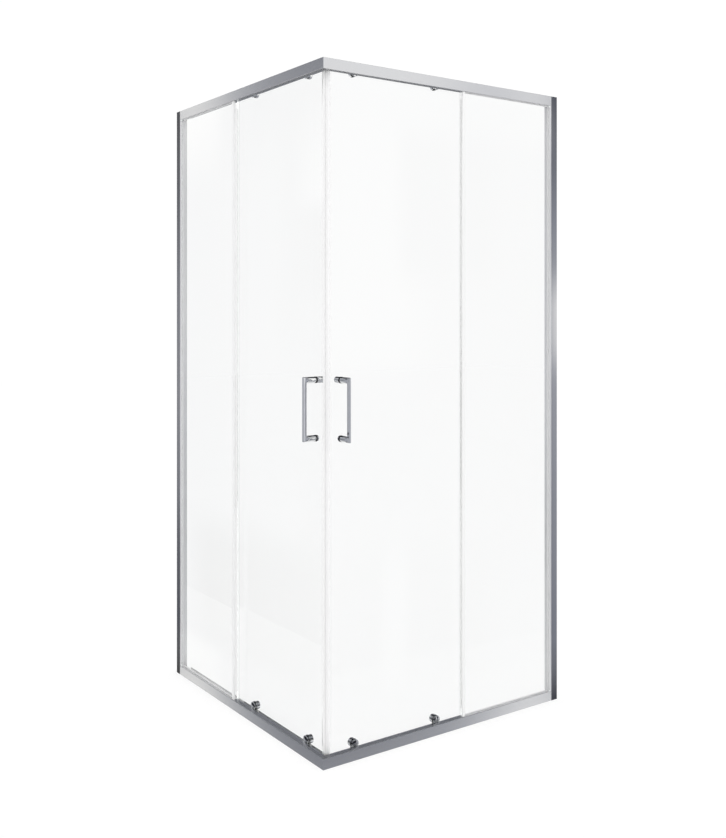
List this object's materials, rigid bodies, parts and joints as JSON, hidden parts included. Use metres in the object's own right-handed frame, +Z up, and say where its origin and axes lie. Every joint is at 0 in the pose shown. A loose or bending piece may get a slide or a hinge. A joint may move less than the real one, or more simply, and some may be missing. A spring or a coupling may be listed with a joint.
{
  "type": "shower enclosure",
  "caption": "Square corner-entry shower enclosure: fixed glass panels in an aluminium frame, and glass doors on grooved rollers that slide apart from the corner.",
  "frame": {"origin": "centre of the bounding box of the closed enclosure, on the floor", "axes": "+Z up; the right panel faces -Y and its door opens along +X; the left panel faces -X and its door opens along +Y; the entry corner is at -X -Y"},
  "size_m": [0.9054, 0.9054, 1.9],
  "materials": {
    "rail_aluminium": "bright satin anodised",
    "profile_aluminium": "bright anodised, darker",
    "cover_aluminium": "satin anodised",
    "clear_glass": "clear toughened",
    "clear_pvc": "translucent",
    "pale_gasket": "pale grey satin",
    "black_rubber": "matt black",
    "chrome": "polished",
    "white_nylon": "satin",
    "steel": "zinc-plated",
    "magnet": "white-jacketed bonded magnet"
  },
  "bodies": {
    "frame": {"wall_profile_right": "profile_aluminium", "jamb_right": "rail_aluminium", "top_rail_right": "rail_aluminium", "bottom_rail_right": "rail_aluminium", "fixed_glass_right": "clear_glass", "glazing_gasket_right": "pale_gasket", "slot_covers_right": "cover_aluminium", "fixed_edge_seal_right": "clear_pvc", "wall_profile_left": "profile_aluminium", "jamb_left": "rail_aluminium", "top_rail_left": "rail_aluminium", "bottom_rail_left": "rail_aluminium", "fixed_glass_left": "clear_glass", "glazing_gasket_left": "pale_gasket", "slot_covers_left": "cover_aluminium", "fixed_edge_seal_left": "clear_pvc", "bottom_corner_joiner": "rail_aluminium", "top_corner_joiner": "rail_aluminium", "rail_screws": "steel", "corner_screws": "steel", "jamb_screws": "steel", "door_stops": "black_rubber"},
    "door_right": {"door_glass_right": "clear_glass", "magnetic_seal_right": "clear_pvc", "magnet_strip_right": "magnet", "door_edge_seal_right": "clear_pvc", "handle_right": "chrome", "handle_inner_knob_right": "chrome", "handle_inner_cap_right": "chrome", "handle_washers_right": "black_rubber", "roller_caps_right": "chrome", "upper_roller_carriers_right": "chrome", "upper_roller_pins_right": "steel", "lower_roller_bodies_right": "chrome", "lower_roller_retainers_right": "chrome"},
    "upper_wheel_front_right": {"upper_wheel_front_right": "white_nylon"},
    "release_arm_front_right": {"release_arm_front_right": "steel"},
    "lower_wheel_front_right": {"lower_wheel_front_right": "white_nylon"},
    "upper_wheel_rear_right": {"upper_wheel_rear_right": "white_nylon"},
    "release_arm_rear_right": {"release_arm_rear_right": "steel"},
    "lower_wheel_rear_right": {"lower_wheel_rear_right": "white_nylon"},
    "door_left": {"door_glass_left": "clear_glass", "magnetic_seal_left": "clear_pvc", "magnet_strip_left": "magnet", "door_edge_seal_left": "clear_pvc", "handle_left": "chrome", "handle_inner_knob_left": "chrome", "handle_inner_cap_left": "chrome", "handle_washers_left": "black_rubber", "roller_caps_left": "chrome", "upper_roller_carriers_left": "chrome", "upper_roller_pins_left": "steel", "lower_roller_bodies_left": "chrome", "lower_roller_retainers_left": "chrome"},
    "upper_wheel_front_left": {"upper_wheel_front_left": "white_nylon"},
    "release_arm_front_left": {"release_arm_front_left": "steel"},
    "lower_wheel_front_left": {"lower_wheel_front_left": "white_nylon"},
    "upper_wheel_rear_left": {"upper_wheel_rear_left": "white_nylon"},
    "release_arm_rear_left": {"release_arm_rear_left": "steel"},
    "lower_wheel_rear_left": {"lower_wheel_rear_left": "white_nylon"}
  },
  "joints": [
    {"name": "door_right_slide", "type": "slide", "parent": "frame", "child": "door_right", "axis": [1, 0, 0], "range_m": [0, 0.34]},
    {"name": "upper_wheel_front_right_spin", "type": "hinge", "parent": "door_right", "child": "upper_wheel_front_right", "pos_m": [-0.31625, -0.40015, 1.88975], "axis": [0, 1, 0], "continuous": true},
    {"name": "release_arm_front_right_swing", "type": "hinge", "parent": "door_right", "child": "release_arm_front_right", "pos_m": [-0.31625, -0.40265, 0.034], "axis": [0, -1, 0], "range_deg": [0, 90]},
    {"name": "lower_wheel_front_right_spin", "type": "hinge", "parent": "release_arm_front_right", "child": "lower_wheel_front_right", "pos_m": [-0.31625, -0.39775, 0.01215], "axis": [0, 1, 0], "continuous": true},
    {"name": "upper_wheel_rear_right_spin", "type": "hinge", "parent": "door_right", "child": "upper_wheel_rear_right", "pos_m": [-0.02425, -0.40015, 1.88975], "axis": [0, 1, 0], "continuous": true},
    {"name": "release_arm_rear_right_swing", "type": "hinge", "parent": "door_right", "child": "release_arm_rear_right", "pos_m": [-0.02425, -0.40265, 0.034], "axis": [0, -1, 0], "range_deg": [0, 90]},
    {"name": "lower_wheel_rear_right_spin", "type": "hinge", "parent": "release_arm_rear_right", "child": "lower_wheel_rear_right", "pos_m": [-0.02425, -0.39775, 0.01215], "axis": [0, 1, 0], "continuous": true},
    {"name": "door_left_slide", "type": "slide", "parent": "frame", "child": "door_left", "axis": [0, 1, 0], "range_m": [0, 0.34]},
    {"name": "upper_wheel_front_left_spin", "type": "hinge", "parent": "door_left", "child": "upper_wheel_front_left", "pos_m": [-0.40015, -0.31625, 1.88975], "axis": [-1, 0, 0], "continuous": true},
    {"name": "release_arm_front_left_swing", "type": "hinge", "parent": "door_left", "child": "release_arm_front_left", "pos_m": [-0.40265, -0.31625, 0.034], "axis": [1, 0, 0], "range_deg": [0, 90]},
    {"name": "lower_wheel_front_left_spin", "type": "hinge", "parent": "release_arm_front_left", "child": "lower_wheel_front_left", "pos_m": [-0.39775, -0.31625, 0.01215], "axis": [-1, 0, 0], "continuous": true},
    {"name": "upper_wheel_rear_left_spin", "type": "hinge", "parent": "door_left", "child": "upper_wheel_rear_left", "pos_m": [-0.40015, -0.02425, 1.88975], "axis": [-1, 0, 0], "continuous": true},
    {"name": "release_arm_rear_left_swing", "type": "hinge", "parent": "door_left", "child": "release_arm_rear_left", "pos_m": [-0.40265, -0.02425, 0.034], "axis": [1, 0, 0], "range_deg": [0, 90]},
    {"name": "lower_wheel_rear_left_spin", "type": "hinge", "parent": "release_arm_rear_left", "child": "lower_wheel_rear_left", "pos_m": [-0.39775, -0.02425, 0.01215], "axis": [-1, 0, 0], "continuous": true}
  ],
  "couplings": [
    {"joint": "upper_wheel_front_right_spin", "follows": "door_right_slide", "rad_per_m": 156.25},
    {"joint": "lower_wheel_front_right_spin", "follows": "door_right_slide", "rad_per_m": 156.25},
    {"joint": "upper_wheel_rear_right_spin", "follows": "door_right_slide", "rad_per_m": 156.25},
    {"joint": "lower_wheel_rear_right_spin", "follows": "door_right_slide", "rad_per_m": 156.25},
    {"joint": "upper_wheel_front_left_spin", "follows": "door_left_slide", "rad_per_m": 156.25},
    {"joint": "lower_wheel_front_left_spin", "follows": "door_left_slide", "rad_per_m": 156.25},
    {"joint": "upper_wheel_rear_left_spin", "follows": "door_left_slide", "rad_per_m": 156.25},
    {"joint": "lower_wheel_rear_left_spin", "follows": "door_left_slide", "rad_per_m": 156.25}
  ]
}
